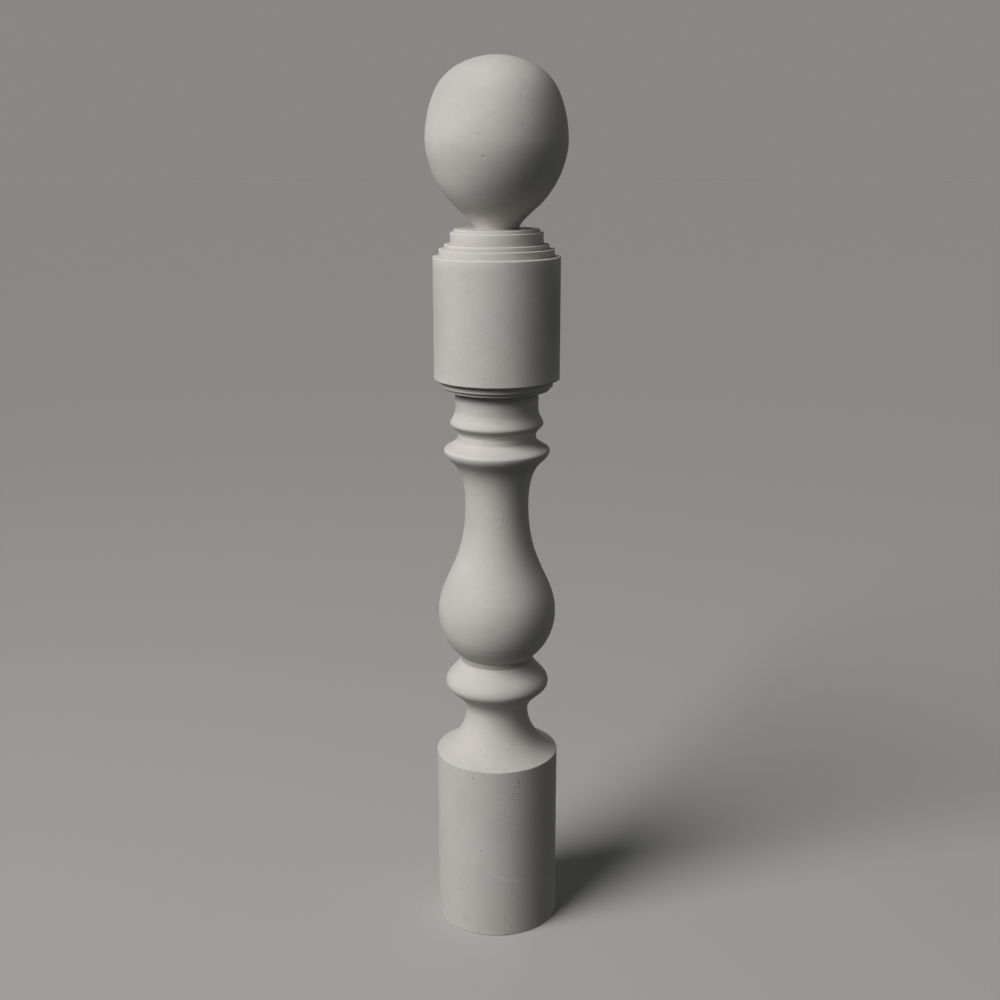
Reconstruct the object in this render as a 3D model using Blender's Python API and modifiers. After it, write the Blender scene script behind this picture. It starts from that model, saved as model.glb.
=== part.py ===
"""Turned stone baluster with a ball top: one stone, modelled as one outline turned about the Z axis.

Units are metres. Z is up, and the origin is the centre of the underside.
"""

import bpy
from math import cos, pi, radians, sin
from mathutils import Vector
from mathutils.geometry import interpolate_bezier

# Radii are measured from the axis. Each height is a member's own, and the members stack from the ground up.
BASE_RADIUS = 0.0800
BASE_HEIGHT = 0.2375
FLARE_HEIGHT = 0.0570
LOWER_NECK_RADIUS = 0.04045

RING_RADIUS = 0.0674
RING_TURN_RADIUS = 0.0556
RING_COVE_HEIGHT = 0.0250
RING_ROUND_HEIGHT = 0.0150
RING_TOP_HEIGHT = 0.0315

FILLET_RADIUS = 0.0470
FILLET_HEIGHT = 0.0074
VASE_FOOT_RADIUS = 0.0485
VASE_RADIUS = 0.0760
VASE_BOWL_HEIGHT = 0.0587
VASE_STEM_HEIGHT = 0.1436
STEM_RADIUS = 0.0404

COLLAR_RADIUS = 0.0671
COLLAR_RISE = 0.0714
COLLAR_TOP_HEIGHT = 0.0139
RECESS_RADIUS = 0.0496
RECESS_HEIGHT = 0.0070
BEAD_RADIUS = 0.05885
BEAD_RISE = 0.0140
BEAD_TOP_HEIGHT = 0.0183
UPPER_NECK_RADIUS = 0.0524
UPPER_NECK_HEIGHT = 0.0246

# Thin square members, each as (radius, height), from the lowest up.
LISTS = ((0.0662, 0.0044), (0.0702, 0.0089))
CAP_STEPS = ((0.0708, 0.0091), (0.0643, 0.0055), (0.0571, 0.0145), (0.0526, 0.0038))

DRUM_RADIUS = 0.0786
DRUM_HEIGHT = 0.1507

BALL_RADIUS = 0.08626
BALL_FOOT_RADIUS = 0.0268
BALL_TURN_RADIUS = 0.0450
BALL_COVE_HEIGHT = 0.0218
BALL_BOWL_HEIGHT = 0.0817
BALL_SHOULDER_RADIUS = 0.0733
BALL_SIDE_HEIGHT = 0.0589
BALL_CROWN_HEIGHT = 0.0393

# How far an arris is eased back along each of its two faces.
DRUM_EASE = 0.0010
THIN_EASE = 0.0005

# A sweep is a curved stretch of the outline. Its first two values are the directions in which it leaves
# its lower end and reaches its upper end, in degrees, where 0 is away from the axis and 90 is up.
# The last two say how far each end holds its direction, as a share of the distance between the ends.
FLARE = (155, 90, 0.52, 0.20)
RING_COVE = (90, 42, 0.37, 0.38)
RING_ROUND = (42, 90, 0.48, 0.32)
RING_TOP = (90, 115, 0.32, 0.43)
VASE_BOWL = (39, 90, 0.36, 0.34)
VASE_STEM = (90, 90, 0.31, 0.55)
COLLAR_UNDER = (90, 90, 0.81, 0.20)
COLLAR_TOP = (90, 136, 0.19, 0.59)
BEAD_UNDER = (81, 90, 0.43, 0.29)
BEAD_TOP = (90, 90, 0.24, 0.53)
BALL_COVE = (99, 39, 0.18, 0.05)
BALL_BOWL = (39, 90, 0.45, 0.20)
BALL_SIDE = (90, 117, 0.36, 0.28)
BALL_CROWN = (117, 180, 0.44, 0.22)

TURN_STEPS = 40
SWEEP_SAG = 0.00045
SWEEP_MOST_POINTS = 40
MERGE_DISTANCE = 0.00005
SMOOTH_ANGLE = radians(30)

STONE_COLOUR = (0.50, 0.48, 0.45, 1.0)
STONE_ROUGHNESS = 0.85


def heading(degrees):
    """The unit vector of one direction in the plane of the outline."""
    return Vector((cos(radians(degrees)), sin(radians(degrees))))


def largest_sag(points, finer):
    """How far a chord's middle lies from the curve, given the curve at twice as many points."""
    middles = [(a + b) / 2 for a, b in zip(points, points[1:])]
    return max((middle - true).length for middle, true in zip(middles, finer[1::2]))


def sweep(start, end, shape):
    """The points of a curved stretch after its start, as few as keep its chords close to the curve."""
    leave, reach, hold_start, hold_end = shape
    start, end = Vector(start), Vector(end)
    span = (end - start).length
    first_handle = start + heading(leave) * span * hold_start
    last_handle = end - heading(reach) * span * hold_end
    for count in range(3, SWEEP_MOST_POINTS):
        points = interpolate_bezier(start, first_handle, last_handle, end, count)
        finer = interpolate_bezier(start, first_handle, last_handle, end, 2 * count - 1)
        if largest_sag(points, finer) < SWEEP_SAG:
            break
    return [(point.x, point.y, 0) for point in points[1:]]


def square_members(z, members, ease):
    """Vertical faces with flat ledges between them, one on top of another."""
    corners = []
    for radius, height in members:
        corners += [(radius, z, ease), (radius, z + height, ease)]
        z += height
    return corners


def base_drum(z):
    return [(0, z, 0)] + square_members(z, [(BASE_RADIUS, BASE_HEIGHT)], DRUM_EASE)


def flare(z):
    return sweep((BASE_RADIUS, z), (LOWER_NECK_RADIUS, z + FLARE_HEIGHT), FLARE)


def lower_ring(z):
    turn = (RING_TURN_RADIUS, z + RING_COVE_HEIGHT)
    widest = (RING_RADIUS, turn[1] + RING_ROUND_HEIGHT)
    top = (FILLET_RADIUS, widest[1] + RING_TOP_HEIGHT)
    under = sweep((LOWER_NECK_RADIUS, z), turn, RING_COVE) + sweep(turn, widest, RING_ROUND)
    return under + sweep(widest, top, RING_TOP)


def vase(z):
    foot = (VASE_FOOT_RADIUS, z + FILLET_HEIGHT)
    widest = (VASE_RADIUS, foot[1] + VASE_BOWL_HEIGHT)
    stem = (STEM_RADIUS, widest[1] + VASE_STEM_HEIGHT)
    fillet = [(FILLET_RADIUS, foot[1], 0), foot + (THIN_EASE,)]
    return fillet + sweep(foot, widest, VASE_BOWL) + sweep(widest, stem, VASE_STEM)


def collar(z):
    widest = (COLLAR_RADIUS, z + COLLAR_RISE)
    top = (RECESS_RADIUS, widest[1] + COLLAR_TOP_HEIGHT)
    under = sweep((STEM_RADIUS, z), widest, COLLAR_UNDER)
    return under + sweep(widest, top, COLLAR_TOP)


def bead(z):
    foot = (RECESS_RADIUS, z + RECESS_HEIGHT)
    widest = (BEAD_RADIUS, foot[1] + BEAD_RISE)
    neck = (UPPER_NECK_RADIUS, widest[1] + BEAD_TOP_HEIGHT)
    top = (UPPER_NECK_RADIUS, neck[1] + UPPER_NECK_HEIGHT, 0)
    return [foot + (0,)] + sweep(foot, widest, BEAD_UNDER) + sweep(widest, neck, BEAD_TOP) + [top]


def lists(z):
    return square_members(z, LISTS, THIN_EASE)


def upper_drum(z):
    return square_members(z, [(DRUM_RADIUS, DRUM_HEIGHT)], DRUM_EASE)


def cap_steps(z):
    return square_members(z, CAP_STEPS, THIN_EASE)


def ball(z):
    turn = (BALL_TURN_RADIUS, z + BALL_COVE_HEIGHT)
    widest = (BALL_RADIUS, turn[1] + BALL_BOWL_HEIGHT)
    shoulder = (BALL_SHOULDER_RADIUS, widest[1] + BALL_SIDE_HEIGHT)
    top = (0, shoulder[1] + BALL_CROWN_HEIGHT)
    foot = (BALL_FOOT_RADIUS, z)
    under = sweep(foot, turn, BALL_COVE) + sweep(turn, widest, BALL_BOWL)
    return [foot + (0,)] + under + sweep(widest, shoulder, BALL_SIDE) + sweep(shoulder, top, BALL_CROWN)


def eased(corners):
    """Each corner that has an ease becomes two points, one back along each of its sides."""
    points = []
    for index, (radius, z, ease) in enumerate(corners):
        corner = Vector((radius, z))
        if ease == 0:
            points.append(corner)
            continue
        for neighbour in (corners[index - 1], corners[index + 1]):
            side = Vector(neighbour[:2]) - corner
            points.append(corner + side.normalized() * min(ease, side.length / 3))
    return points


def baluster_outline():
    """The half outline, from the centre of the underside up to the top of the ball."""
    corners = []
    z = 0
    for member in (base_drum, flare, lower_ring, vase, collar, bead, lists, upper_drum, cap_steps, ball):
        corners += member(z)
        z = corners[-1][1]
    return eased(corners)


def stone():
    material = bpy.data.materials.new("stone")
    material.use_nodes = True
    shader = material.node_tree.nodes["Principled BSDF"]
    shader.inputs["Base Color"].default_value = STONE_COLOUR
    shader.inputs["Roughness"].default_value = STONE_ROUGHNESS
    shader.inputs["Metallic"].default_value = 0.0
    return material


def turned(name, outline, material, collection):
    """A closed solid: the outline, run from top to bottom, turned once about the Z axis."""
    points = [(point.x, 0, point.y) for point in reversed(outline)]
    edges = [(index, index + 1) for index in range(len(points) - 1)]
    profile = bpy.data.meshes.new(name + "_outline")
    profile.from_pydata(points, edges, [])
    piece = bpy.data.objects.new(name, profile)
    collection.objects.link(piece)

    screw = piece.modifiers.new("turn", "SCREW")
    screw.axis = "Z"
    screw.angle = 2 * pi
    screw.steps = TURN_STEPS
    screw.render_steps = TURN_STEPS
    screw.use_merge_vertices = True
    screw.merge_threshold = MERGE_DISTANCE

    turned_piece = piece.evaluated_get(bpy.context.evaluated_depsgraph_get())
    mesh = bpy.data.meshes.new_from_object(turned_piece)
    mesh.name = name
    mesh.shade_smooth()
    mesh.set_sharp_from_angle(angle=SMOOTH_ANGLE)
    piece.modifiers.clear()
    piece.data = mesh
    bpy.data.meshes.remove(profile)
    mesh.materials.append(material)
    return piece


def main():
    for old in list(bpy.data.objects):
        bpy.data.objects.remove(old)
    collection = bpy.data.collections.new("stone_baluster")
    bpy.context.scene.collection.children.link(collection)
    turned("baluster", baluster_outline(), stone(), collection)


main()
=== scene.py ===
# %% [markdown]
# # A turned stone baluster with a ball top
#
# This lesson dresses one stone baluster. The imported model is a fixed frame: it holds the true size and place of
# the stone, and everything here is built around it in metres, with Z up and the origin under its centre.

# %% Load the fixed frame
import random
from math import atan2, cos, degrees, hypot, pi, radians, sin, tan

import bmesh
import bpy
import numpy as np
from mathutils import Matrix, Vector, noise
from mathutils.kdtree import KDTree


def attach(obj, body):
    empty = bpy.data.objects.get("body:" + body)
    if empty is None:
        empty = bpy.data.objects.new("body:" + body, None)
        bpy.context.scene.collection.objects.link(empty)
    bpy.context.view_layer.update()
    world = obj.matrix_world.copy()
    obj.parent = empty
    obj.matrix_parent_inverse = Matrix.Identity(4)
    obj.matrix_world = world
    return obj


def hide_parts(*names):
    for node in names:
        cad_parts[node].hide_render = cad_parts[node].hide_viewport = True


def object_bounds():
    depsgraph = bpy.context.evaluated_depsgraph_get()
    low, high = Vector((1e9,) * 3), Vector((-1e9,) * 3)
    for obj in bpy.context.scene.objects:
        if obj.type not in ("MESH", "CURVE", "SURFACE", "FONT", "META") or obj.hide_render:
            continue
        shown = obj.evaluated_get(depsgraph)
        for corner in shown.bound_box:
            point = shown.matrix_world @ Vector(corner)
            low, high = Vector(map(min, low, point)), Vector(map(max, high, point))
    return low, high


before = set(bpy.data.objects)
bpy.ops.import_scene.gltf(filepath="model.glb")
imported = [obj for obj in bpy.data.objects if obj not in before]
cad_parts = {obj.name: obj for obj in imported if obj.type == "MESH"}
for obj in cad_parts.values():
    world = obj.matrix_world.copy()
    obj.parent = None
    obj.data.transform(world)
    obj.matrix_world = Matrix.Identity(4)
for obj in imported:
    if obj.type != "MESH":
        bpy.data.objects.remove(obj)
cad_low, cad_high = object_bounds()
print("The stone's box:", [round(value, 4) for value in (*cad_low, *cad_high)])

# %% [markdown]
# ## Camera
#
# A long thin thing is judged by its outline, so the camera comes first. It looks down about fifteen degrees from
# just over a metre up, a little below the top of the ball, through a 48 mm lens. The stone's axis then stands
# a touch left of the middle of the picture.

# %% Set up the camera
CAMERA_LENS = 48.21
CAMERA_SENSOR = 36.0
CAMERA_PLACE = (0.00396, -1.6587, 1.0196)
CAMERA_DIP = 14.827

camera_data = bpy.data.cameras.new("camera")
camera_data.lens = CAMERA_LENS
camera_data.sensor_width = CAMERA_SENSOR
camera = bpy.data.objects.new("camera", camera_data)
camera.location = CAMERA_PLACE
camera.rotation_euler = (radians(90 - CAMERA_DIP), 0, 0)
bpy.context.scene.collection.objects.link(camera)
bpy.context.scene.camera = camera
bpy.context.scene.view_settings.view_transform = "Standard"
print("Camera looks down", CAMERA_DIP, "degrees from", CAMERA_PLACE[2], "m up")

# %% [markdown]
# ## The turner's profile
#
# A mason turns such a stone against a template, so all its shape is in one outline. The outline is a chain of
# square members, which are straight, and sweeps, which are curves that leave one point in a known direction and
# reach the next in another. One cubic curve fits each of them closely, so a few sizes say everything.

# %% Sizes of the members, in metres, from the ground up
BASE_RADIUS = 0.0800
BASE_HEIGHT = 0.2375
FLARE_HEIGHT = 0.0570
LOWER_NECK_RADIUS = 0.04045
RING_RADIUS = 0.0674
RING_TURN_RADIUS = 0.0556
RING_COVE_HEIGHT = 0.0250
RING_ROUND_HEIGHT = 0.0150
RING_TOP_HEIGHT = 0.0315
FILLET_RADIUS = 0.0470
FILLET_HEIGHT = 0.0074
VASE_FOOT_RADIUS = 0.0485
VASE_RADIUS = 0.0760
VASE_BOWL_HEIGHT = 0.0587
VASE_STEM_HEIGHT = 0.1436
STEM_RADIUS = 0.0404
COLLAR_RADIUS = 0.0671
COLLAR_RISE = 0.0714
COLLAR_TOP_HEIGHT = 0.0139
RECESS_RADIUS = 0.0496
RECESS_HEIGHT = 0.0070
BEAD_RADIUS = 0.05885
BEAD_RISE = 0.0140
BEAD_TOP_HEIGHT = 0.0183
UPPER_NECK_RADIUS = 0.0524
UPPER_NECK_HEIGHT = 0.0246
LISTS = ((0.0662, 0.0044), (0.0702, 0.0089))
DRUM_RADIUS = 0.0786
DRUM_HEIGHT = 0.1507
CAP_STEPS = ((0.0708, 0.0091), (0.0643, 0.0055), (0.0571, 0.0145), (0.0526, 0.0038))
BALL_RADIUS = 0.08626
BALL_FOOT_RADIUS = 0.0268
BALL_TURN_RADIUS = 0.0450
BALL_COVE_HEIGHT = 0.0218
BALL_BOWL_HEIGHT = 0.0817
BALL_SHOULDER_RADIUS = 0.0733
BALL_SIDE_HEIGHT = 0.0589
BALL_CROWN_HEIGHT = 0.0393

# Directions at the two ends in degrees, 0 away from the axis and 90 up, then how far each end holds its own.
FLARE = (155, 90, 0.52, 0.20)
RING_COVE = (90, 42, 0.37, 0.38)
RING_ROUND = (42, 90, 0.48, 0.32)
RING_TOP = (90, 115, 0.32, 0.43)
VASE_BOWL = (39, 90, 0.36, 0.34)
VASE_STEM = (90, 90, 0.31, 0.55)
COLLAR_UNDER = (90, 90, 0.81, 0.20)
COLLAR_TOP = (90, 136, 0.19, 0.59)
BEAD_UNDER = (81, 90, 0.43, 0.29)
BEAD_TOP = (90, 90, 0.24, 0.53)
BALL_COVE = (99, 39, 0.18, 0.05)
BALL_BOWL = (39, 90, 0.45, 0.20)
BALL_SIDE = (90, 117, 0.36, 0.28)
BALL_CROWN = (117, 180, 0.44, 0.22)
print("The base is", 2 * BASE_RADIUS, "m across, and the ball", 2 * BALL_RADIUS, "m")

# %% [markdown]
# A sweep is drawn with more points than it needs and then thinned to an even spacing, because the finish needs
# faces of about the same size all over the stone. Each end also gets a point close by: colour that is kept on the
# points can then stay inside a narrow corner, and does not leak down the face beside it. At an arris that point
# has to stand clear of the easing.

# %% Draw the curved members
ROW_SPACING = 0.0036
ARRIS_ROW = 0.0014
CORNER_ROW = 0.0008
SWEEP_POINTS = 400


def heading(angle):
    """The unit vector of one direction in the plane of the outline."""
    return np.array((cos(radians(angle)), sin(radians(angle))))


def sweep(start, end, shape, spacing):
    """The points of one curved member after its start, at an even spacing but for one close to each end."""
    leave, reach, hold_start, hold_end = shape
    start, end = np.array(start), np.array(end)
    span = np.hypot(*(end - start))
    first = start + heading(leave) * span * hold_start
    last = end - heading(reach) * span * hold_end
    t = np.linspace(0, 1, SWEEP_POINTS)[:, None]
    drawn = (1 - t) ** 3 * start + 3 * (1 - t) ** 2 * t * first + 3 * (1 - t) * t ** 2 * last + t ** 3 * end
    walked = np.concatenate(([0], np.cumsum(np.hypot(*np.diff(drawn, axis=0).T))))
    count = max(2, round(walked[-1] / spacing))
    wanted = set(walked[-1] * np.arange(1, count + 1) / count)
    if spacing > ARRIS_ROW:
        wanted |= {ARRIS_ROW, walked[-1] - CORNER_ROW}
    wanted = sorted(wanted)
    return [(radius, height, 0) for radius, height in
            zip(np.interp(wanted, walked, drawn[:, 0]), np.interp(wanted, walked, drawn[:, 1]))]


flare_top = (LOWER_NECK_RADIUS, BASE_HEIGHT + FLARE_HEIGHT)
flare_points = sweep((BASE_RADIUS, BASE_HEIGHT), flare_top, FLARE, ROW_SPACING)
print("The flare is drawn with", len(flare_points), "points")

# %% [markdown]
# The square members are the two drums, the two lists under the upper one and the four steps on top of it. Each is
# only a pair of corners, one above the other, and the flat ledges come of themselves where two pairs follow each
# other. A corner carries the size of its easing, and a chain of sweeps runs on from wherever the last one ended.

# %% Draw the straight members
DRUM_EASE = 0.0010
THIN_EASE = 0.0005


def square_members(z, members, ease):
    """Vertical faces with flat ledges between them, as corners that are to be eased."""
    corners = []
    for radius, height in members:
        corners += [(radius, z, ease), (radius, z + height, ease)]
        z += height
    return corners


def sweeps(start, members, spacing):
    """A chain of sweeps, each given as its end radius, its rise and its shape."""
    points = []
    radius, z = start
    for end_radius, rise, shape in members:
        points += sweep((radius, z), (end_radius, z + rise), shape, spacing)
        radius, z = end_radius, z + rise
    return points


print("The steps under the ball have", len(square_members(0, CAP_STEPS, THIN_EASE)), "corners")

# %% [markdown]
# Now the members are stacked from the ground up, in the order in which they stand on the stone. It is done in a
# function, because the same outline is wanted twice: at an even spacing for the surface, and later very finely.

# %% Join them into the outline
def baluster_outline(spacing):
    """The half outline from the centre of the underside to the top of the ball, as (radius, height, ease)."""
    line = [(0, 0, 0)] + square_members(0, [(BASE_RADIUS, BASE_HEIGHT)], DRUM_EASE)
    line += sweeps((BASE_RADIUS, BASE_HEIGHT), [
        (LOWER_NECK_RADIUS, FLARE_HEIGHT, FLARE),
        (RING_TURN_RADIUS, RING_COVE_HEIGHT, RING_COVE),
        (RING_RADIUS, RING_ROUND_HEIGHT, RING_ROUND),
        (FILLET_RADIUS, RING_TOP_HEIGHT, RING_TOP)], spacing)
    foot = line[-1][1] + FILLET_HEIGHT
    line += [(FILLET_RADIUS, foot, 0), (VASE_FOOT_RADIUS, foot, THIN_EASE)]
    line += sweeps((VASE_FOOT_RADIUS, foot), [
        (VASE_RADIUS, VASE_BOWL_HEIGHT, VASE_BOWL),
        (STEM_RADIUS, VASE_STEM_HEIGHT, VASE_STEM),
        (COLLAR_RADIUS, COLLAR_RISE, COLLAR_UNDER),
        (RECESS_RADIUS, COLLAR_TOP_HEIGHT, COLLAR_TOP)], spacing)
    recess_top = line[-1][1] + RECESS_HEIGHT
    line.append((RECESS_RADIUS, recess_top, 0))
    line += sweeps((RECESS_RADIUS, recess_top), [
        (BEAD_RADIUS, BEAD_RISE, BEAD_UNDER),
        (UPPER_NECK_RADIUS, BEAD_TOP_HEIGHT, BEAD_TOP)], spacing)
    neck_top = line[-1][1] + UPPER_NECK_HEIGHT
    line.append((UPPER_NECK_RADIUS, neck_top, 0))
    line += square_members(neck_top, LISTS, THIN_EASE)
    line += square_members(line[-1][1], [(DRUM_RADIUS, DRUM_HEIGHT)], DRUM_EASE)
    line += square_members(line[-1][1], CAP_STEPS, THIN_EASE)
    line.append((BALL_FOOT_RADIUS, line[-1][1], 0))
    return line + sweeps(line[-1][:2], [
        (BALL_TURN_RADIUS, BALL_COVE_HEIGHT, BALL_COVE),
        (BALL_RADIUS, BALL_BOWL_HEIGHT, BALL_BOWL),
        (BALL_SHOULDER_RADIUS, BALL_SIDE_HEIGHT, BALL_SIDE),
        (0, BALL_CROWN_HEIGHT, BALL_CROWN)], spacing)


outline = baluster_outline(ROW_SPACING)
print("The outline has", len(outline), "points and ends", round(outline[-1][1], 4), "m up")

# %% [markdown]
# ## Turning the stone
#
# On a lathe the block spins against a fixed template. Here the outline spins instead: its corners are eased first
# with a bevel, as a mason rubs every arris so that it doesn't chip, then it goes once round the axis. Long
# straight runs are cut into rows, with one row close to each corner.

# %% Ease the arrises and cut the long runs
STRAIGHT_SPACING = 0.0120
# A longer edge than this is a ledge or an upright face, and not a part of a sweep.
LONGEST_SWEEP_ROW = 0.0043
EASE_SEGMENTS = 3
# Points closer than this count as one.
WELD = 0.00001


def eased_profile(corners):
    """A bmesh holding the outline as a chain of edges in the XZ plane, with its arrises rounded."""
    mesh = bmesh.new()
    chain = [mesh.verts.new((radius, 0, z)) for radius, z, ease in corners]
    for here, there in zip(chain, chain[1:]):
        mesh.edges.new((here, there))
    arrises = {size: [vert for vert, corner in zip(chain, corners) if corner[2] == size]
               for size in (DRUM_EASE, THIN_EASE)}
    for size, verts in arrises.items():
        bmesh.ops.bevel(mesh, geom=verts, offset=size, offset_type="OFFSET", affect="VERTICES",
                        segments=EASE_SEGMENTS, profile=0.5, material=-1)
    return mesh


def with_rows(line, spacing):
    """The outline with points added to its straight runs: one close to each corner, and even ones between."""
    full = list(line[:2])
    for here, there in zip(line[1:], line[2:]):
        length = hypot(there[0] - here[0], there[1] - here[1])
        first, last = (ARRIS_ROW if end[2] else CORNER_ROW for end in (here, there))
        between = length - first - last
        straight = here[2] or there[2] or length > LONGEST_SWEEP_ROW
        if straight and between > CORNER_ROW:
            rows = max(1, round(between / spacing))
            for row in range(rows + 1):
                share = (first + between * row / rows) / length
                full.append((here[0] + (there[0] - here[0]) * share, here[1] + (there[1] - here[1]) * share, 0))
        full.append(there)
    return full


print("With its long runs cut, the outline has", len(with_rows(outline, STRAIGHT_SPACING)), "points")

# %% [markdown]
# One turn in 144 steps puts the columns under 4 mm apart at the widest member, so the stone reads as round. Both
# ends of the outline lie on the axis, where the spin leaves a heap of points; they are merged into one pole each,
# and the faces are then all turned outwards.

# %% Spin the outline into a closed surface
COLUMNS = 144

stone_mesh = eased_profile(with_rows(outline, STRAIGHT_SPACING))
print("Profile edges:", len(stone_mesh.edges))
bmesh.ops.spin(stone_mesh, geom=stone_mesh.verts[:] + stone_mesh.edges[:], cent=(0, 0, 0), axis=(0, 0, 1),
               angle=2 * pi, steps=COLUMNS, use_merge=True)
bmesh.ops.remove_doubles(stone_mesh, verts=stone_mesh.verts[:], dist=WELD)
bmesh.ops.recalc_face_normals(stone_mesh, faces=stone_mesh.faces[:])
open_edges = sum(1 for edge in stone_mesh.edges if not edge.is_manifold)
print("Turned surface:", len(stone_mesh.faces), "faces,", open_edges, "open edges")

# %% [markdown]
# ## The true outline, close up
#
# The marks on the stone need smaller faces than the rest of it, and a face that is cut in two stays flat, while
# the stone is round. So the same outline is drawn again with a point every 0.4 mm. Any point near the surface can
# then be told how far along the outline it lies, and be settled on the true curve.

# %% Draw the outline finely
FINE_SPACING = 0.0004

fine_profile = eased_profile(with_rows(baluster_outline(FINE_SPACING), FINE_SPACING))
fine_points = {vert: vert.co.copy() for vert in fine_profile.verts}
here = next(vert for vert in fine_profile.verts if vert.co.length < WELD)
came_by = None
samples = []
while here is not None:
    samples.append((fine_points[here].x, fine_points[here].z))
    onward = [edge for edge in here.link_edges if edge is not came_by]
    came_by = onward[0] if onward else None
    here = came_by.other_vert(here) if came_by else None
fine_profile.free()
samples = np.array(samples)
walk = np.concatenate(([0], np.cumsum(np.hypot(*np.diff(samples, axis=0).T))))
ahead = np.gradient(samples, axis=0)
ahead /= np.hypot(*ahead.T)[:, None]
print("Fine outline:", len(samples), "points over", round(walk[-1], 3), "m")

outline_tree = KDTree(len(samples))
for index, (radius, height) in enumerate(samples):
    outline_tree.insert((radius, height, 0), index)
outline_tree.balance()

# %% [markdown]
# A place on the stone is then two numbers, as on a map: how far one has walked along the outline, and how far
# round the stone one stands. A mark is laid out in those, so it keeps its shape wherever the stone curves.

# %% Find a point's place on the stone
def nearest_sample(point):
    """The nearest point of the fine outline, and how far the point lies beyond it along and off the outline."""
    radius = hypot(point.x, point.y)
    index = outline_tree.find((radius, point.z, 0))[1]
    offset = np.array((radius, point.z)) - samples[index]
    along = float(offset @ ahead[index])
    off = float(offset @ (ahead[index][1], -ahead[index][0]))
    return index, along, off


def stone_place(point):
    """How far along the outline a point lies, in metres, and how far round the stone, in radians."""
    index, along, _ = nearest_sample(point)
    return walk[index] + along, atan2(point.x, -point.y)


def outward(index, turn):
    """The stone's outward direction at a fine point of the outline, turned to a place round the axis."""
    side, lift = ahead[index][1], -ahead[index][0]
    return Vector((side * sin(turn), -side * cos(turn), lift))


def settle(vert):
    """Moves a point that a cut left on a flat face out to the true curve."""
    index, _, off = nearest_sample(vert.co)
    vert.co -= outward(index, atan2(vert.co.x, -vert.co.y)) * off


arris_walk = stone_place(Vector((0, -BASE_RADIUS, BASE_HEIGHT)))[0]
print("The arris of the base lies", round(arris_walk, 3), "m along the outline")

# %% [markdown]
# ## Pits, chips and scratches
#
# Limestone has small holes where shell and softer grains fell out, and an old stone has a few knocks. They are
# pressed into the mesh itself, so that they catch the light and show from any side. Those on the front stand
# where they stand on the real stone. Each is given by its height, its turn to the right of the front, its
# length, width and depth, how it is tilted from level, and how much grime it holds. Where the last value is below
# zero, the mark is a vein or a fresh rub instead, as pale as the value says.

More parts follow.
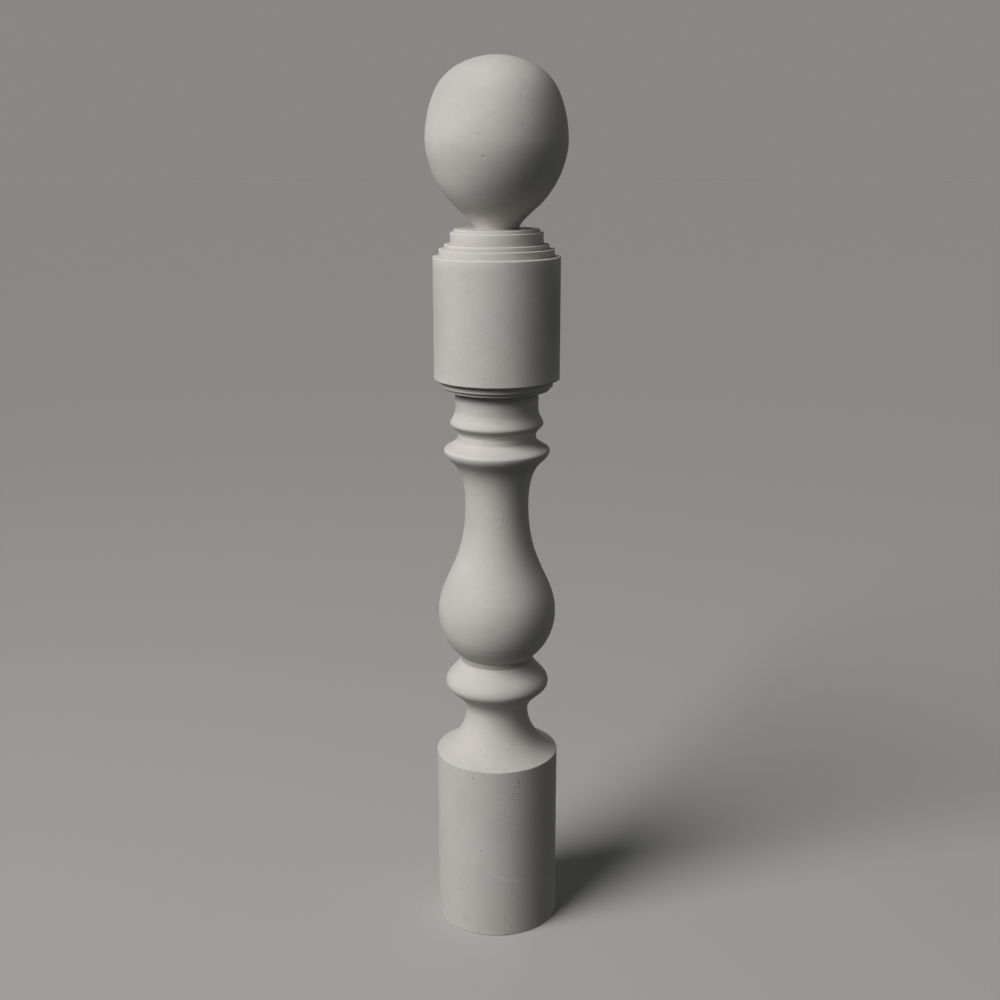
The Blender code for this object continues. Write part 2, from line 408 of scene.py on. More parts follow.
# %% Marks on the front, in millimetres and degrees
FRONT_MARKS = (
    # the ball
    (1063.0, -32.6, 1.9, 1.8, 0.6, 0, 0.9), (1041.2, 20.9, 2.3, 2.0, 0.9, 0, 0.9),
    (1007.0, -9.8, 6.4, 3.6, 0.3, 25, 0.1), (1032.3, -12.6, 8.5, 1.2, 0.3, 2, 0.5),
    (1031.1, -20.0, 2.0, 3.4, 0.2, 0, 0.2), (1048.4, -14.8, 3.4, 1.8, 0.2, 15, 0.2),
    (1054.0, -52.1, 4.0, 3.0, 0.2, 0, -0.6), (1102.4, -11.9, 5.0, 1.6, 0.2, 5, -0.5),
    (964.9, -15.2, 4.5, 1.3, 0.4, 88, 0.4), (946.0, -24.0, 3.0, 1.5, 0.3, 60, 0.3),
    # a jagged vein down the right of the ball
    (1080.7, 27.3, 26.0, 6.0, 0.0, 50, -0.25), (1066.7, 22.0, 13.0, 6.0, 0.0, -78, -0.35),
    (1056.7, 24.9, 16.0, 6.0, 0.0, -60, -0.4), (1045.8, 29.0, 15.0, 6.0, 0.0, -63, -0.3),
    # the upper drum
    (750.0, -11.5, 5.0, 4.4, 0.2, 0, 0.25), (792.0, -28.0, 2.4, 2.6, 0.2, 0, 0.2),
    (777.0, -29.5, 3.6, 3.0, 0.1, 0, 0.15), (761.5, -2.5, 4.4, 1.4, 0.12, 5, 0.2),
    (877.0, 15.0, 3.6, 1.6, 0.1, 10, 0.2), (842.0, 26.0, 2.2, 3.0, 0.2, 0, 0.3),
    (818.0, 13.0, 3.4, 3.8, 0.1, 30, 0.2), (783.0, 15.5, 3.8, 3.0, 0.06, 0, 0.1),
    (763.0, 7.5, 2.4, 3.0, 0.1, 0, 0.1),
    # the stem and the vase
    (553.0, 11.0, 1.6, 3.4, 0.25, 0, 0.25), (565.5, 12.5, 9.0, 1.4, 0.2, 86, 0.25),
    (508.0, -2.0, 2.6, 2.0, 0.2, 0, 0.2), (409.5, -38.0, 26.0, 2.6, 0.0, -6, -0.9),
    (407.5, -22.0, 2.4, 1.8, 0.4, 0, 0.5), (390.0, -14.5, 2.4, 2.2, 0.4, 0, 0.4),
    (396.5, -3.0, 46.0, 1.4, 0.4, 0, 0.8),
    # the flare and the arris under it
    (251.0, 34.0, 2.6, 3.0, 0.2, 0, 0.3), (240.5, -10.0, 3.0, 2.0, 0.3, 0, 0.3),
    (262.0, 28.0, 2.6, 2.0, 0.1, 0, 0.2), (237.2, -17.0, 3.4, 1.8, 0.7, 0, 0.3),
    # the base
    (226.6, -22.7, 3.8, 1.8, 0.8, 50, 0.7), (220.9, 21.1, 4.4, 3.2, 0.4, 20, 0.9),
    (215.3, 17.8, 2.4, 2.2, 0.4, 0, 0.9), (214.8, 21.8, 2.4, 2.2, 0.4, 0, 0.9),
    (221.4, 31.0, 3.2, 3.0, 0.3, 0, 0.6), (206.4, 16.2, 3.8, 1.8, 0.5, 0, 0.6),
    (203.6, 16.2, 3.6, 1.6, 0.0, 0, -0.4), (198.8, 4.9, 5.0, 2.6, 0.25, 0, 0.25),
    (195.6, 6.0, 5.0, 2.0, 0.0, 0, -0.2), (178.5, 11.5, 4.0, 6.0, 0.0, 0, -0.7),
    (172.9, 11.1, 4.8, 2.0, 0.3, 0, 0.35), (124.7, -14.7, 2.2, 2.6, 0.8, 0, 1.0),
    (119.3, 11.2, 2.8, 2.6, 0.3, 0, 0.4), (60.0, -35.8, 2.6, 2.4, 0.8, 0, 1.0),
    (37.0, -58.0, 2.4, 4.0, 0.3, 0, 0.4), (186.0, 51.0, 2.6, 2.0, 0.3, 0, 0.4),
    (213.0, -44.0, 2.6, 2.0, 0.2, 0, 0.3), (12.0, 13.8, 5.5, 1.4, 0.35, 88, 0.4),
    (23.4, 8.4, 7.0, 2.4, 0.2, 85, 0.2), (0.5, 9.5, 5.0, 2.4, 0.8, 0, 0.8),
    # a broad faint vein that falls to the right
    (100.9, -8.0, 14.0, 7.0, 0.0, -70, -0.2), (91.6, -3.6, 14.0, 8.0, 0.0, -42, -0.35),
    (85.5, 5.0, 18.0, 9.0, 0.0, -18, -0.5), (81.1, 17.5, 38.0, 9.0, 0.0, -12, -0.45),
    (69.1, 43.5, 58.0, 8.0, 0.0, -22, -0.45),
)
print("Marks and veins on the front:", len(FRONT_MARKS))

# %% [markdown]
# Nothing is known of the back, so it gets the same kinds of mark at about the same number, scattered by a seeded
# random generator: a repeat of the script then gives the same stone again.

# %% Scatter marks over the hidden sides
HIDDEN_FROM = 72
HIDDEN_TO = 172
# Each row is a stretch of the stone, from one height to another in millimetres, and its number of marks. Their
# widths and depths are in millimetres, and their lengths are so many widths.
HIDDEN_STRETCHES = ((8, 228, 16), (746, 882, 9), (955, 1100, 10), (385, 470, 7), (480, 620, 3))
HIDDEN_WIDTHS = (1.8, 2.8)
HIDDEN_LENGTHS = (1.0, 1.8)
HIDDEN_DEPTHS = (0.2, 0.3, 0.3, 0.5, 0.9)
HIDDEN_TILTS = (-60, 60)
LEAST_GRIME = 0.3
GRIME_PER_DEPTH = 0.6
# Arrises are nicked instead. Each nick stands at one of these heights, and its sizes are in millimetres too.
HIDDEN_NICKS = (0.5, 237.2, 237.2, 738.5, 888.6, 888.6, 897.9)
NICK_LENGTHS = (2.5, 6.0)
NICK_WIDTHS = (1.6, 2.4)
NICK_DEPTHS = (0.5, 0.9)
NICK_GRIME = 0.4
SEED = 11

chance = random.Random(SEED)


def hidden_turn():
    """A turn to one side or the other, beyond what the front shows."""
    return chance.choice((-1, 1)) * chance.uniform(HIDDEN_FROM, HIDDEN_TO)


hidden_marks = []
for low, high, number in HIDDEN_STRETCHES:
    for _ in range(number):
        width = chance.uniform(*HIDDEN_WIDTHS)
        depth = chance.choice(HIDDEN_DEPTHS)
        height, turn = chance.uniform(low, high), hidden_turn()
        length = width * chance.uniform(*HIDDEN_LENGTHS)
        soiling = min(1.0, LEAST_GRIME + GRIME_PER_DEPTH * depth)
        hidden_marks.append((height, turn, length, width, depth, chance.uniform(*HIDDEN_TILTS), soiling))
for height in HIDDEN_NICKS:
    hidden_marks.append((height, hidden_turn(), chance.uniform(*NICK_LENGTHS), chance.uniform(*NICK_WIDTHS),
                         chance.uniform(*NICK_DEPTHS), 0, NICK_GRIME))
print(len(FRONT_MARKS), "marks on the front and", len(hidden_marks), "on the hidden sides")

# %% [markdown]
# A mark can only be as fine as the faces that carry it. So the faces around each mark are halved again and again,
# in ever smaller patches, until about five of them fit across it. Each mark is worked out first: its place on the
# outline and round it, and its sizes in metres. At the height of a ledge it stands on the outer edge.

# %% Describe a mark on the stone
SAME_HEIGHT = 0.0003


class Mark:
    """One mark: its nearest point of the fine outline, its turn, and its sizes in metres and radians."""

    def __init__(self, height, turn, length, width, depth, tilt, soiling):
        gaps = np.abs(samples[:, 1] - height / 1000)
        close = np.flatnonzero(gaps < max(SAME_HEIGHT, gaps.min() + WELD))
        self.sample = int(close[samples[close, 0].argmax()])
        self.radius = samples[self.sample, 0]
        self.walk, self.turn = walk[self.sample], radians(turn)
        self.half_length, self.half_width = length / 2000, width / 2000
        self.depth, self.tilt, self.soiling = depth / 1000, radians(tilt), soiling
        self.centre = Vector((self.radius * sin(self.turn), -self.radius * cos(self.turn),
                              samples[self.sample, 1]))

    def level_place(self, place):
        """How far round and how far up from the mark's middle a place on the stone lies, along the surface."""
        return (place[1] - self.turn) * self.radius, place[0] - self.walk

    def own_place(self, place):
        """The same, turned to run along the mark and across it."""
        level, up = self.level_place(place)
        return level * cos(self.tilt) + up * sin(self.tilt), up * cos(self.tilt) - level * sin(self.tilt)


marks = [Mark(*row) for row in (*FRONT_MARKS, *hidden_marks)]
print("The highest mark is", round(max(mark.centre.z for mark in marks), 3), "m up")

# %% [markdown]
# A face is halved along one way or both, as the mark needs, because a long scratch needs short faces across it but
# not along it. A mark that is neither level nor upright needs short faces both ways. Faces a little beyond its rim
# are halved as well, so that the rim is drawn as finely as the middle.

# %% Choose the edges to halve
CELLS_ACROSS = 5
PATCH_MARGIN = 1.3
NEARLY_LEVEL = radians(15)
NEARLY_UPRIGHT = radians(70)


def reach_of(mark):
    """Half the room that a mark takes round the stone and up it, whatever its tilt."""
    lean, rise = abs(cos(mark.tilt)), abs(sin(mark.tilt))
    return (mark.half_length * lean + mark.half_width * rise, mark.half_length * rise + mark.half_width * lean)


def cell_sizes(mark):
    """The longest that a face at a mark may be, round the stone and up it."""
    level = mark.half_length if abs(mark.tilt) < NEARLY_LEVEL else mark.half_width
    up = mark.half_length if abs(mark.tilt) > NEARLY_UPRIGHT else mark.half_width
    return 2 * level / CELLS_ACROSS, 2 * up / CELLS_ACROSS


def edges_to_halve(mark, faces, places):
    """The edges of the faces at a mark that are still too long for it."""
    reach, cells = reach_of(mark), cell_sizes(mark)
    chosen = set()
    for face in faces:
        corners = [mark.level_place(places[vert.index]) for vert in face.verts]
        spans = [max(ways) - min(ways) for ways in zip(*corners)]
        middle = [sum(ways) / len(ways) for ways in zip(*corners)]
        if any(abs(middle[way]) > reach[way] + PATCH_MARGIN * spans[way] for way in (0, 1)):
            continue
        for edge in face.edges:
            start, end = (mark.level_place(places[vert.index]) for vert in edge.verts)
            level, up = abs(end[0] - start[0]), abs(end[1] - start[1])
            if (level >= up and spans[0] > cells[0]) or (up > level and spans[1] > cells[1]):
                chosen.add(edge)
    return chosen


smallest_cell = min(min(cell_sizes(mark)) for mark in marks)
print("The finest mark needs faces", round(smallest_cell * 1000, 2), "mm wide")

# %% [markdown]
# One round halves all the chosen edges at once, for all marks, and the new points are settled on the true curve
# before the next round. The rounds end when no face is too long for its mark, or after six.

# %% Halve them in rounds
MOST_CUTS = 6
LARGEST_FACE = 0.0125
MOST_CORNERS = 6


def tree_of(mesh):
    """A search tree of all the points of a mesh."""
    tree = KDTree(len(mesh.verts))
    for vert in mesh.verts:
        tree.insert(vert.co, vert.index)
    tree.balance()
    return tree


class Places(dict):
    """The place on the stone of each point asked for, worked out once."""

    def __missing__(self, index):
        self[index] = stone_place(stone_mesh.verts[index].co)
        return self[index]


for cut in range(MOST_CUTS):
    stone_mesh.verts.index_update()
    stone_mesh.verts.ensure_lookup_table()
    vert_tree, places, chosen = tree_of(stone_mesh), Places(), set()
    for mark in marks:
        room = hypot(*reach_of(mark)) + 2 * PATCH_MARGIN * LARGEST_FACE / 2 ** cut
        near = vert_tree.find_range(mark.centre, room)
        faces = {face for _, index, _ in near for face in stone_mesh.verts[index].link_faces}
        chosen |= edges_to_halve(mark, [face for face in faces if len(face.verts) <= MOST_CORNERS], places)
    if not chosen:
        break
    before = len(stone_mesh.verts)
    bmesh.ops.subdivide_edges(stone_mesh, edges=list(chosen), cuts=1, use_grid_fill=True)
    stone_mesh.verts.ensure_lookup_table()
    for vert in stone_mesh.verts[before:]:
        settle(vert)
    print("Cut", cut + 1, "made", len(stone_mesh.verts) - before, "new points")

# %% [markdown]
# A face beside a halved one has an extra corner on a straight side. It is cut into triangles here, and not left to
# the renderer, because one of those triangles can be a sliver of no width, and such slivers are then dissolved.

# %% Cut the uneven faces into triangles
STRAIGHT_CORNER = radians(170)


def has_straight_corner(face):
    """Whether a corner of the face lies on a nearly straight side."""
    return any(corner.calc_angle() > STRAIGHT_CORNER for corner in face.loops)


to_cut = [face for face in stone_mesh.faces if len(face.verts) > 4 or has_straight_corner(face)]
bmesh.ops.triangulate(stone_mesh, faces=to_cut)
faces_before = len(stone_mesh.faces)
bmesh.ops.dissolve_degenerate(stone_mesh, dist=WELD, edges=stone_mesh.edges[:])
print(len(to_cut), "faces were cut into triangles, and", faces_before - len(stone_mesh.faces), "slivers dissolved")

# %% [markdown]
# A hole in stone has no neat rim, so the distance from a mark's middle is unsettled by a little noise before it
# is used. Points inside sink straight into the stone, deepest in the middle. The same share says how much grime
# lies there, or how pale the stone is.

# %% Press the marks in
WOBBLE_SIZE = 0.0011
WOBBLE = 0.35
# Noise can push the rim outwards, so points are looked for over this many half lengths.
RIM_ROOM = 1.3

stone_mesh.verts.index_update()
grime_and_shade_layer = stone_mesh.verts.layers.float.new("grime_and_shade")
worn_layer = stone_mesh.verts.layers.float.new("worn")
stone_mesh.verts.ensure_lookup_table()
vert_tree = tree_of(stone_mesh)


def press(mark):
    """Sinks the points inside a mark, deepest in its middle, with an uneven rim."""
    for co, index, _ in vert_tree.find_range(mark.centre, mark.half_length * RIM_ROOM + mark.half_width):
        vert = stone_mesh.verts[index]
        along, across = mark.own_place(stone_place(co))
        share = hypot(along / mark.half_length, across / mark.half_width)
        share *= 1 + WOBBLE * noise.noise(co / WOBBLE_SIZE)
        if share < 1:
            sample = nearest_sample(co)[0]
            vert.co -= outward(sample, atan2(co.x, -co.y)) * mark.depth * (1 - share ** 3)
            layer = grime_and_shade_layer if mark.soiling > 0 else worn_layer
            vert[layer] = max(vert[layer], abs(mark.soiling) * (1 - share * share))


for mark in marks:
    press(mark)
print("Deepest mark", max(mark.depth for mark in marks) * 1000, "mm")

# %% [markdown]
# ## Where shade is painted and where edges wear
#
# Outer arrises are rubbed pale, and inner corners get a little painted shade. Both follow the outline: where it
# turns outwards sharply there is an edge to wear, and where it turns inwards there is a corner to darken. Most
# corners of this stone get only a faint painted shade, but a few sheltered ones get a dark line of painted shade.
# The amounts are kept on the mesh's points, for the material to read.

# %% Measure how sharply the outline turns
TURN_WINDOW = 0.0012
FULL_TURN = radians(60)
SLIGHT_TURN = radians(12)
# The painted shade that a sharp inner corner gets.
CORNER_SHADE = 0.2
# The two arrises of the base are crisp, and hardly paler than the stone.
CRISP_BELOW = 0.245
CRISP_WEAR = 0.3
# Lines of painted shade as (height, half width, amount) in metres: over the ring, under the bead, below each of
# the two lists, under the drum and round the ball's foot.
PAINTED_SHADE_LINES = ((0.3662, 0.0008, 0.4), (0.6770, 0.0022, 0.4), (0.7249, 0.0010, 0.5), (0.7293, 0.0008, 0.5),
               (0.7382, 0.0010, 0.7), (0.9218, 0.0008, 0.2))


def turn_at(index):
    """How much the outline turns within a short window about a point, more than nothing on an outer edge."""
    back = ahead[int(np.searchsorted(walk, walk[index] - TURN_WINDOW))]
    on = ahead[min(int(np.searchsorted(walk, walk[index] + TURN_WINDOW)), len(walk) - 1)]
    return atan2(back[0] * on[1] - back[1] * on[0], back[0] * on[0] + back[1] * on[1])


outline_turns = [turn_at(index) for index in range(len(samples))]
for vert in stone_mesh.verts:
    if vert.co.z < WELD:
        continue
    turned = outline_turns[nearest_sample(vert.co)[0]]
    amount = min(1.0, max(0.0, abs(turned) - SLIGHT_TURN) / FULL_TURN)
    if turned > 0:
        vert[worn_layer] = max(vert[worn_layer], amount * (CRISP_WEAR if vert.co.z < CRISP_BELOW else 1))
    # Inner corners and the listed lines are darkened as painted shade, on the same layer as the grime in the pits.
    lines = [share for height, half_width, share in PAINTED_SHADE_LINES if abs(vert.co.z - height) < half_width]
    if turned < 0 or lines:
        vert[grime_and_shade_layer] = max([vert[grime_and_shade_layer], amount * CORNER_SHADE] + lines)
print("Sharpest inner and outer turn:", round(min(outline_turns), 2), round(max(outline_turns), 2))

# %% [markdown]
# ## Painted light and shade
#
# Soft patches lighten or darken the stone's colour to stand in for light and shade. The lit side of the crown is
# darker and the belly of the ball lighter, the undersides and shaded edges carry painted shade, and the shaded
# lists and recess are painted lighter. Each patch is given by the height and the turn of its middle, half its
# height and half its turn, and how much lighter or darker it is.

# %% Lay the patches of painted light and shade
SHADING_PATCHES = (
    # the ball: a darker crown on the lit side, painted light on the belly and foot, painted shade under it and on
    # its shaded side
    (1088, -55, 60, 62, -0.17), (976, -62, 30, 62, 0.15), (950, 40, 17, 55, -0.12), (931, -30, 11, 65, 0.12),
    (985, 72, 60, 38, -0.15),
    # painted shade on the two edges of the upper drum and on the steps above it
    (815, 72, 90, 34, -0.20), (815, -72, 90, 30, -0.11), (905, 0, 20, 180, -0.09),
    # painted shadow of the ball on the ledge behind its foot
    (921.8, 80, 3, 75, -0.45),
    # painted shade under the collar, on the near side of stem and vase, under the vase and ring; a lighter vase
    # front
    (630, 35, 14, 80, -0.22), (560, -55, 60, 45, -0.06), (470, -58, 34, 45, -0.08), (390, 40, 15, 50, -0.08),
    (410, -20, 24, 90, 0.07), (320, 40, 11, 60, -0.18),
    # painted light: the recess under the bead, the lists under the drum, the two necks and the foot of the base
    (667, -5, 9, 110, 0.18), (733, -10, 7, 120, 0.28), (717, 0, 11, 100, 0.18), (301, -20, 14, 90, 0.09),
    (3, -45, 9, 70, 0.05),
    # the back keeps the same habit: a darker crown, and painted shade under the ball, collar, vase and ring
    (1092, 165, 45, 80, -0.08), (950, 180, 18, 70, -0.15), (630, 180, 14, 80, -0.20), (392, 180, 19, 80, -0.15),
    (320, 180, 11, 80, -0.18),
)

# The patches add up on the mesh's points as painted light and shade.
painted_shading_layer = stone_mesh.verts.layers.float.new("painted_shading")
for vert in stone_mesh.verts:
    turn = degrees(atan2(vert.co.x, -vert.co.y))
    for height, middle, half_height, half_turn, change in SHADING_PATCHES:
        rise = abs(vert.co.z * 1000 - height) / half_height
        if rise < 1:
            away = abs((turn - middle + 180) % 360 - 180) / half_turn
            share = max(0.0, 1 - hypot(rise, away))
            vert[painted_shading_layer] += change * share * share * (3 - 2 * share)
print("Weathered patches:", len(SHADING_PATCHES))

# %% [markdown]
# ## One stone, one object
#
# The real baluster is a single block, so the whole mesh is one object. It is shaded smooth but for its sharp
# corners, and it stands in for the plain solid of the frame, on the same body.

# %% Make it an object
SMOOTH_ANGLE = 50

for vert in stone_mesh.verts:
    vert.co.z = max(cad_low[2], min(vert.co.z, cad_high[2]))
stone_data = bpy.data.meshes.new("turned_stone")
stone_mesh.to_mesh(stone_data)
stone_mesh.free()
stone_data.shade_smooth()
stone_data.set_sharp_from_angle(angle=radians(SMOOTH_ANGLE))
stone_data.calc_loop_triangles()
turned_stone = bpy.data.objects.new("turned_stone", stone_data)
bpy.context.scene.collection.objects.link(turned_stone)
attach(turned_stone, "root")
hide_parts("baluster")
print("The stone has", len(stone_data.loop_triangles), "triangles")

# %% [markdown]
# ## The stone's finish
#
# This is a close, pale limestone, rubbed smooth but not polished. It has no shine; most of its light and dark come
# from the light, and the rest is painted shade and painted light in its colour. Close up it is faintly clouded, a
# little warmer here and cooler there. All the patterns read Object coordinates, so they run through the stone as
# bedding and grain do, without a seam.

# %% Colours and nodes
def linear(hex_colour):
    """An sRGB hex colour as the linear values that a shader takes."""
    parts = [int(hex_colour[place:place + 2], 16) / 255 for place in (1, 3, 5)]
    return tuple(part / 12.92 if part <= 0.04045 else ((part + 0.055) / 1.055) ** 2.4 for part in parts) + (1.0,)


def add_node(tree, kind, settings=(), inputs=(), links=()):
    """Adds a node, sets its properties and input values, and links its inputs from other nodes' outputs."""
    node = tree.nodes.new(kind)
    for name, value in dict(settings).items():
        setattr(node, name, value)
    for name, value in dict(inputs).items():
        node.inputs[name].default_value = value
    for name, output in dict(links).items():
        tree.links.new(output, node.inputs[name])
    return node


print("Half light is", round(linear("#808080")[0], 3), "in linear light")

# %% [markdown]
# The colour starts from two greys that are nearly alike, a cool one and a warm one, and a very broad pattern leads
# from one to the other. Noise is enough for that, since limestone has no figure that the eye could follow.

# %% The stone's colour
# Honed limestone: an even pale grey with a warm side, clouded over some 60 mm and more finely over 14 mm.
COOL_STONE = "#c9c5c1"
WARM_STONE = "#cac5bf"
# Dark brown, for the grime in the pits and for the painted shade in corners and under ledges.
GRIME_AND_SHADE_COLOUR = "#4d4943"
WORN_STONE = "#e0ddd7"
STONE_IOR = 1.5
# Each pattern is its size in metres and how many finer layers it is made of.
TINT = (0.110, 2)
CLOUD = (0.060, 3)
MOTTLE = (0.014, 3)
# The real grain is under a millimetre and would not show, so it is drawn at 2.4 mm.
GRAIN = (0.0024, 4)
TINT_RANGE = (0.35, 0.65)
# A colour mix is joined by the numbers of its sockets: the colours it mixes from and to, and its result.
MIX_A, MIX_B, MIX_COLOUR = 6, 7, 2

limestone = bpy.data.materials.new("honed_limestone")
limestone.use_nodes = True
tree = limestone.node_tree
shader = tree.nodes["Principled BSDF"]
shader.inputs["IOR"].default_value = STONE_IOR

place = add_node(tree, "ShaderNodeTexCoord").outputs["Object"]
tint, cloud, mottle, grain = [
    add_node(tree, "ShaderNodeTexNoise", inputs={"Scale": 1 / size, "Detail": layers}, links={"Vector": place})
    for size, layers in (TINT, CLOUD, MOTTLE, GRAIN)]
tint_share = add_node(tree, "ShaderNodeMapRange", inputs={"From Min": TINT_RANGE[0], "From Max": TINT_RANGE[1]},
                      links={"Value": tint.outputs["Fac"]})
stone_colour = add_node(tree, "ShaderNodeMix", {"data_type": "RGBA"},
                        {MIX_A: linear(COOL_STONE), MIX_B: linear(WARM_STONE)},
                        {"Factor": tint_share.outputs["Result"]})
print("The stone's cool side reflects", round(linear(COOL_STONE)[1], 2), "of the light")

# %% [markdown]
# Four things make the plain tone uneven: clouds some 60 mm wide, a finer mottle, the grain, and the faint
# slanting marks of the rubbing block. Each one multiplies the tone by a little more or less than one, so none of
# them can take it over. The soft patches of painted light and shade are read from the mesh and scale the result
# once more.

# %% Clouding, rubbing marks and grain
CLOUD_STRENGTH = 0.10
MOTTLE_STRENGTH = 0.09
GRAIN_STRENGTH = 0.08
RUB_STRENGTH = 0.08
# A rubbing block leaves faint slanting marks, some 40 mm long and 4 mm apart, and it is worked both ways.
RUB_LENGTH = 0.040
RUB_WIDTH = 0.004
RUB_LAYERS = 2
RUB_SLANTS = (38, -33)

rubs = []
for slant in RUB_SLANTS:
    rub_place = add_node(tree, "ShaderNodeMapping", {"vector_type": "TEXTURE"},
                         {"Rotation": (0, radians(-slant), 0), "Scale": (RUB_LENGTH, RUB_WIDTH, RUB_WIDTH)},
                         {"Vector": place})
    rubs.append(add_node(tree, "ShaderNodeTexNoise", inputs={"Scale": 1, "Detail": RUB_LAYERS},
                         links={"Vector": rub_place.outputs["Vector"]}))
shade = None
for pattern, strength in ((cloud, CLOUD_STRENGTH), (mottle, MOTTLE_STRENGTH), (grain, GRAIN_STRENGTH),
                          (rubs[0], RUB_STRENGTH), (rubs[1], RUB_STRENGTH)):
    level = add_node(tree, "ShaderNodeMath", {"operation": "MULTIPLY_ADD"}, {1: strength, 2: 1 - strength / 2},
                     {0: pattern.outputs["Fac"]})
    shade = level if shade is None else add_node(tree, "ShaderNodeMath", {"operation": "MULTIPLY"},
                                                 links={0: shade.outputs[0], 1: level.outputs[0]})
# The painted light and shade of the soft patches scales the clouded tone.
painted_shading = add_node(tree, "ShaderNodeAttribute", {"attribute_name": "painted_shading"})
painted_shading_tone = add_node(tree, "ShaderNodeMath", {"operation": "MULTIPLY_ADD"},
                     links={0: painted_shading.outputs["Fac"], 1: shade.outputs[0], 2: shade.outputs[0]})
clouded = add_node(tree, "ShaderNodeVectorMath", {"operation": "SCALE"},
                   links={"Vector": stone_colour.outputs[MIX_COLOUR], "Scale": painted_shading_tone.outputs[0]})
print("Patterns in the stone's tone:", 3 + len(rubs))

# %% [markdown]
# Grime in the pits, and the painted shade in corners and under the ledges, are dark and a little brown, and they
# cover the stone where they lie, so they are mixed in last. Under them, worn arrises, fresh rubs and veins are
# mixed towards a paler stone.

# %% Grime, painted shade and wear
GRIME_AND_SHADE_COVER = 0.75
WEAR_COVER = 0.65

# This layer holds the grime in the pits and the painted shade in corners and under ledges.
grime_and_shade = add_node(tree, "ShaderNodeAttribute", {"attribute_name": "grime_and_shade"})
worn = add_node(tree, "ShaderNodeAttribute", {"attribute_name": "worn"})
grime_and_shade_share = add_node(tree, "ShaderNodeMath", {"operation": "MULTIPLY"}, {1: GRIME_AND_SHADE_COVER},
                       {0: grime_and_shade.outputs["Fac"]})
worn_share = add_node(tree, "ShaderNodeMath", {"operation": "MULTIPLY"}, {1: WEAR_COVER}, {0: worn.outputs["Fac"]})
rubbed = add_node(tree, "ShaderNodeMix", {"data_type": "RGBA"}, {MIX_B: linear(WORN_STONE)},
                  {"Factor": worn_share.outputs[0], MIX_A: clouded.outputs["Vector"]})
soiled_and_shaded = add_node(tree, "ShaderNodeMix", {"data_type": "RGBA"}, {MIX_B: linear(GRIME_AND_SHADE_COLOUR)},
                  {"Factor": grime_and_shade_share.outputs[0], MIX_A: rubbed.outputs[MIX_COLOUR]})
tree.links.new(soiled_and_shaded.outputs[MIX_COLOUR], shader.inputs["Base Color"])
print("Deepest grime covers", GRIME_AND_SHADE_COVER, "of the stone's colour")

# %% [markdown]
# Rubbed limestone scatters nearly all its light, so it is rough, and only a touch smoother where the mottle is
# dense. It isn't quite even to the hand either: a shallow swell of about 18 mm is some tenth of a millimetre high,
# and the grain itself is half of that. Those are too low to be worth faces, so they are left to bump.

# %% How rough it is
ROUGHNESS_RANGE = (0.78, 0.92)
UNDULATION_SIZE = 0.018
UNDULATION_LAYERS = 1
UNDULATION_HEIGHT = 0.00012
GRAIN_HEIGHT = 0.00006

roughness = add_node(tree, "ShaderNodeMapRange",
                     inputs={"To Min": ROUGHNESS_RANGE[0], "To Max": ROUGHNESS_RANGE[1]},
                     links={"Value": mottle.outputs["Fac"]})
tree.links.new(roughness.outputs["Result"], shader.inputs["Roughness"])
undulation = add_node(tree, "ShaderNodeTexNoise",
                      inputs={"Scale": 1 / UNDULATION_SIZE, "Detail": UNDULATION_LAYERS}, links={"Vector": place})
swell = add_node(tree, "ShaderNodeBump", inputs={"Strength": 1, "Distance": UNDULATION_HEIGHT},
                 links={"Height": undulation.outputs["Fac"]})
grit = add_node(tree, "ShaderNodeBump", inputs={"Strength": 1, "Distance": GRAIN_HEIGHT},
                links={"Height": grain.outputs["Fac"], "Normal": swell.outputs["Normal"]})
tree.links.new(grit.outputs["Normal"], shader.inputs["Normal"])
turned_stone.data.materials.append(limestone)
print("The limestone has", len(tree.nodes), "nodes")

# %% [markdown]
# ## Floor and backdrop
#
# The stone stands on a wide pale floor. Far away the floor would end in a hard line behind the ball, so a great
# dome in the floor's own tone stands round it all, and the two run into each other. The floor throws no light
# back up at the stone, because a floor this pale would wash out its undersides.

# %% Lay the floor and the dome
STAGE_RADIUS = 40.0
FLOOR_SIDES = 96
DOME_COLUMNS = 64
DOME_ROWS = 32
FLOOR_TONE = "#bab8b5"
BACKDROP_TONE = "#888785"


def stage_piece(name, mesh, material):
    """A piece of the stage: seen by the camera, but with no effect on the light."""
    data = bpy.data.meshes.new(name)
    mesh.to_mesh(data)
    mesh.free()
    data.shade_smooth()
    data.materials.append(material)
    piece = bpy.data.objects.new(name, data)
    bpy.context.scene.collection.objects.link(piece)
    piece.visible_diffuse = False
    piece.visible_shadow = False
    return piece


floor_mesh = bmesh.new()
bmesh.ops.create_circle(floor_mesh, cap_ends=True, segments=FLOOR_SIDES, radius=STAGE_RADIUS)
floor_paint = bpy.data.materials.new("matt_floor_paint")
floor_paint.use_nodes = True
floor_shader = floor_paint.node_tree.nodes["Principled BSDF"]
floor_shader.inputs["Base Color"].default_value = linear(FLOOR_TONE)
floor_shader.inputs["Roughness"].default_value = 1.0
floor_shader.inputs["Specular IOR Level"].default_value = 0.0
stage_piece("floor", floor_mesh, floor_paint)

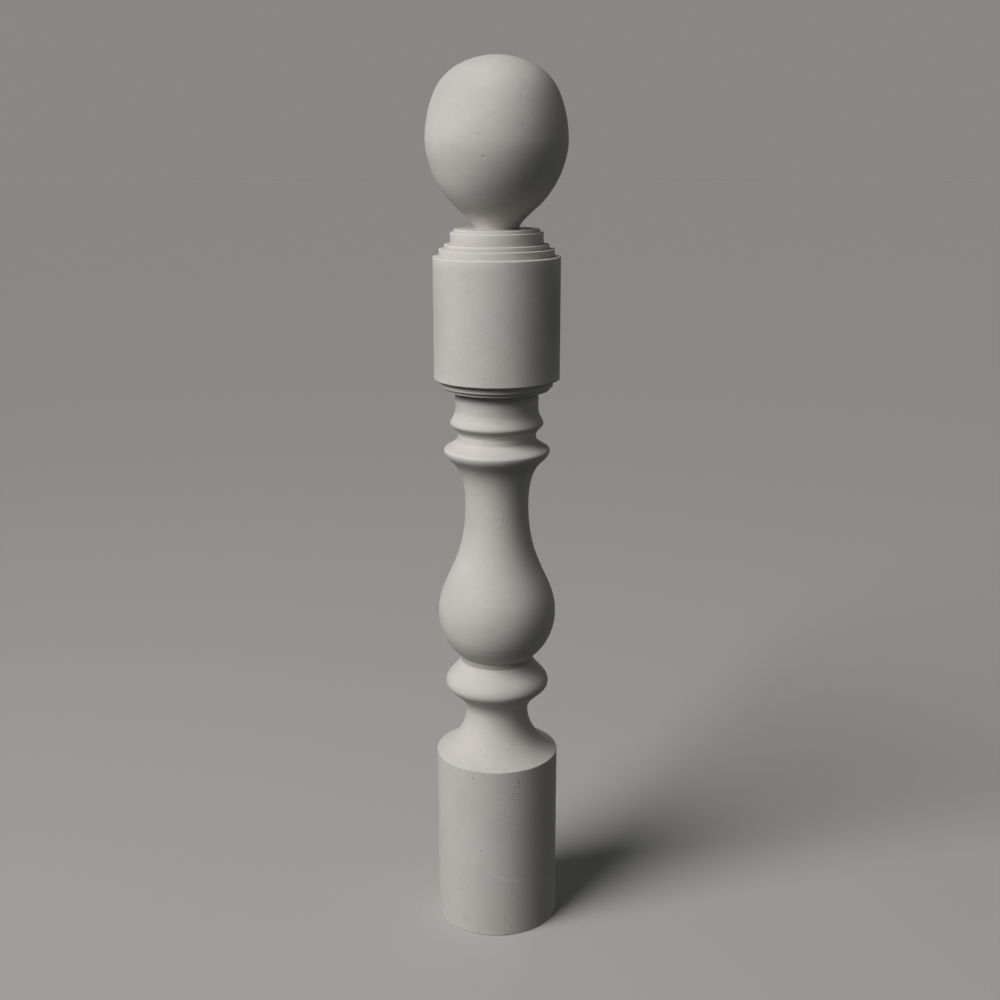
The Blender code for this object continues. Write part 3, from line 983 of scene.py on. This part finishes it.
dome_mesh = bmesh.new()
bmesh.ops.create_uvsphere(dome_mesh, u_segments=DOME_COLUMNS, v_segments=DOME_ROWS, radius=STAGE_RADIUS)
bmesh.ops.reverse_faces(dome_mesh, faces=dome_mesh.faces[:])
backdrop_light = bpy.data.materials.new("backdrop_glow")
backdrop_light.use_nodes = True
backdrop_tree = backdrop_light.node_tree
glow = add_node(backdrop_tree, "ShaderNodeEmission", inputs={"Color": linear(BACKDROP_TONE), "Strength": 1.0})
backdrop_tree.links.new(glow.outputs["Emission"], backdrop_tree.nodes["Material Output"].inputs["Surface"])
dome = stage_piece("backdrop", dome_mesh, backdrop_light)
dome.visible_glossy = False
print("The floor is", 2 * STAGE_RADIUS, "m across")

# %% [markdown]
# ## Light
#
# One large soft light stands to the left of the camera and above it, as broad as the sky through a window, with
# only a little light from all round. That gives the long soft change from lit to dark that shows how round each
# member is. A smaller soft light on the same side is nearer to the head, which is a touch brighter than the foot.
# A weak fill from the right lifts the shaded edge. A level light from behind reaches little but the far side, so
# that the back can be seen too.

# %% Set up the lights
KEY_TURN = 52
KEY_RISE = 38
KEY_SPREAD = 36
KEY_STRENGTH = 2.21
FILL_TURN = -105
FILL_RISE = 20
FILL_SPREAD = 60
FILL_STRENGTH = 0.13
REAR_TURN = 180
REAR_RISE = 0
REAR_SPREAD = 14
REAR_STRENGTH = 0.60
HEAD_LIGHT_DISTANCE = 2.2
HEAD_LIGHT_POWER = 18.3
HEAD_HEIGHT = 1.0
AROUND_STRENGTH = 0.052
AROUND_TONE = "#f7ffff"
# A sun lights the same from anywhere, so this only keeps its mark clear of the stone.
SUN_DISTANCE = 6


def towards(turn, rise):
    """The way to a light that is turned so far to the left of the front and raised so far, in degrees."""
    return Vector((-sin(radians(turn)) * cos(radians(rise)), -cos(radians(turn)) * cos(radians(rise)),
                   sin(radians(rise))))


def add_light(name, kind, way, place):
    """A light at a place, turned to shine back along the way to it."""
    data = bpy.data.lights.new(name, kind)
    light = bpy.data.objects.new(name, data)
    light.location = place
    light.rotation_euler = way.to_track_quat("Z", "Y").to_euler()
    bpy.context.scene.collection.objects.link(light)
    return data


to_key = towards(KEY_TURN, KEY_RISE)
for name, way, strength, spread in (
        ("key", to_key, KEY_STRENGTH, KEY_SPREAD),
        ("fill", towards(FILL_TURN, FILL_RISE), FILL_STRENGTH, FILL_SPREAD),
        ("rear", towards(REAR_TURN, REAR_RISE), REAR_STRENGTH, REAR_SPREAD)):
    sun = add_light(name, "SUN", way, way * SUN_DISTANCE)
    sun.energy = strength
    sun.angle = radians(spread)

head_light = add_light("head_light", "AREA", to_key, Vector((0, 0, HEAD_HEIGHT)) + to_key * HEAD_LIGHT_DISTANCE)
head_light.shape = "DISK"
head_light.size = 2 * HEAD_LIGHT_DISTANCE * tan(radians(KEY_SPREAD / 2))
head_light.energy = HEAD_LIGHT_POWER

studio = bpy.data.worlds.new("studio")
studio.use_nodes = True
studio.node_tree.nodes["Background"].inputs["Color"].default_value = linear(AROUND_TONE)
studio.node_tree.nodes["Background"].inputs["Strength"].default_value = AROUND_STRENGTH
bpy.context.scene.world = studio
print("Head light is", round(head_light.size, 2), "m across")
